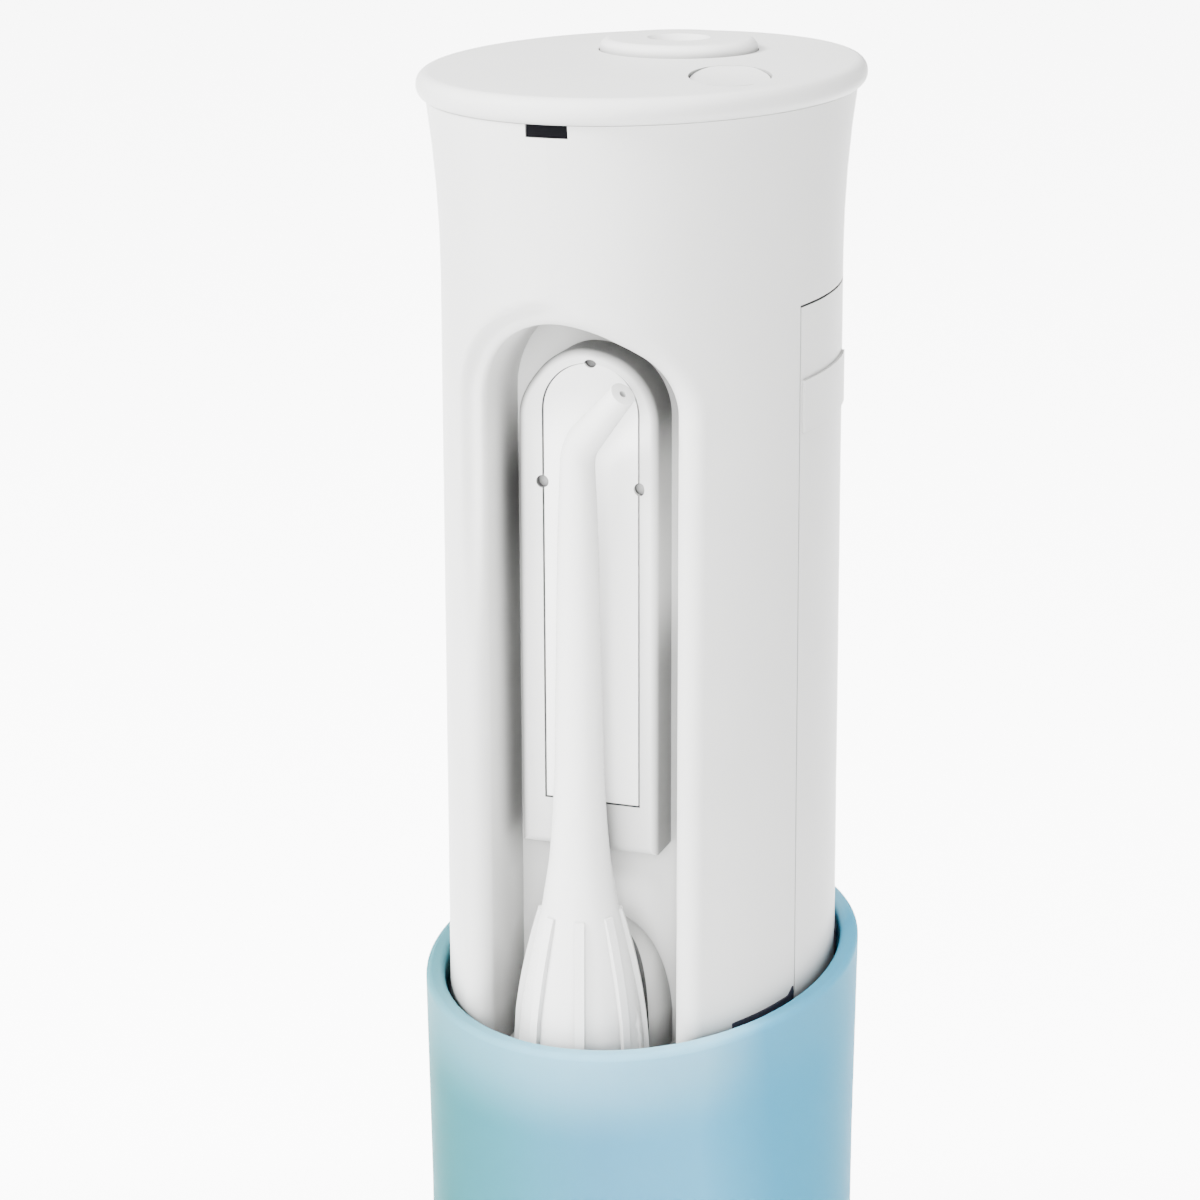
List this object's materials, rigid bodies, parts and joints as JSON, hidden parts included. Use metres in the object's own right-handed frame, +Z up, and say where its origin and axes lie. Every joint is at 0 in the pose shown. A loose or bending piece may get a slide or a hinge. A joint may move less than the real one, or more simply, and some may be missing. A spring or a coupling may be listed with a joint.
{
  "type": "telescoping water-jet irrigator",
  "caption": "Handheld water-jet irrigator: an oval pump body slides in an oval water tank, with a bent jet nozzle stored in a bay in its back.",
  "frame": {"origin": "middle of the tank's flat foot, on the surface that it stands on", "axes": "+Z up along the body, +Y towards the front with the slider, -Y towards the nozzle bay, +X across the narrow width"},
  "size_m": [0.0548, 0.0738, 0.2515],
  "materials": {
    "white_shell": "satin white moulded ABS",
    "nozzle_white": "smooth white polypropylene",
    "inlay_white": "fine satin white film",
    "tank_blue": "frosted translucent light blue",
    "soft_white": "soft white elastomer",
    "black_rubber": "matte black elastomer",
    "black_trim": "matte black moulding",
    "cell_jacket": "plain grey cell jacket",
    "contact_steel": "nickel-plated spring strip",
    "motor_steel": "zinc-plated can",
    "board_green": "bare circuit board",
    "chassis_grey": "grey moulded frame",
    "gear_acetal": "natural acetal",
    "pump_plastic": "natural nylon",
    "tube_clear": "milky flexible tube"
  },
  "bodies": {
    "tank": {"tank_shell": "tank_blue"},
    "main_body": {"main_housing": "white_shell", "front_cover": "white_shell", "top_lid": "white_shell", "nozzle_socket": "white_shell", "bay_panel": "white_shell", "bay_inlay": "inlay_white", "nozzle_cradle": "white_shell", "latch_slot_insert": "black_trim", "base_carrier": "white_shell", "base_seal": "soft_white", "intake_filter": "pump_plastic", "cell_left": "cell_jacket", "cell_right": "cell_jacket", "lower_contact": "contact_steel", "upper_contact": "contact_steel", "circuit_board": "board_green", "chassis": "chassis_grey", "chassis_screws": "contact_steel", "motor_can": "motor_steel", "pump_barrel": "pump_plastic", "valve_head": "pump_plastic", "valve_ball_inlet": "contact_steel", "valve_ball_outlet": "contact_steel", "intake_tube": "tube_clear", "delivery_tube": "tube_clear", "socket_o_ring": "black_rubber", "seal_pad_rear_left": "black_rubber", "seal_pad_front_left": "black_rubber", "seal_pad_rear_right": "black_rubber", "seal_pad_front_right": "black_rubber"},
    "stopper": {"filler_stopper": "soft_white"},
    "nozzle": {"jet_nozzle": "nozzle_white"},
    "release": {"release_button": "white_shell", "latch_collar": "gear_acetal"},
    "slider": {"mode_slider": "white_shell"},
    "battery_cap": {"base_cap": "white_shell"},
    "rotor": {"motor_shaft": "contact_steel", "pinion": "gear_acetal"},
    "crank": {"crank_gear": "gear_acetal", "crank_pin": "contact_steel"},
    "plunger": {"pump_plunger": "gear_acetal"}
  },
  "joints": [
    {"name": "body_slide", "type": "slide", "parent": "tank", "child": "main_body", "axis": [0, 0, 1], "range_m": [-0.102, 0.025]},
    {"name": "stopper_pull", "type": "slide", "parent": "tank", "child": "stopper", "axis": [0, 1, 0], "range_m": [0, 0.012]},
    {"name": "nozzle_tilt", "type": "hinge", "parent": "main_body", "child": "nozzle", "pos_m": [0, -0.025, 0.1235], "axis": [1, 0, 0], "range_deg": [0, 8]},
    {"name": "button_press", "type": "slide", "parent": "main_body", "child": "release", "axis": [0, 0, 1], "range_m": [-0.0015, 0], "stiffness_N_per_m": 800, "springref_m": 0.0005},
    {"name": "slider_shift", "type": "slide", "parent": "main_body", "child": "slider", "axis": [0, 0, 1], "range_m": [0, 0.008]},
    {"name": "cap_pull", "type": "slide", "parent": "main_body", "child": "battery_cap", "axis": [0, 0, -1], "range_m": [0, 0.03]},
    {"name": "crank_turn", "type": "hinge", "parent": "main_body", "child": "crank", "pos_m": [0, 0.0077, 0.1805], "axis": [0, 0, 1], "continuous": true},
    {"name": "rotor_turn", "type": "hinge", "parent": "main_body", "child": "rotor", "pos_m": [0, -0.0035, 0.1805], "axis": [0, 0, 1], "continuous": true},
    {"name": "plunger_stroke", "type": "slide", "parent": "main_body", "child": "plunger", "axis": [0, 1, 0], "range_m": [-0.0025, 0.0025]}
  ],
  "couplings": [
    {"joint": "rotor_turn", "follows": "crank_turn", "ratio": -3}
  ]
}
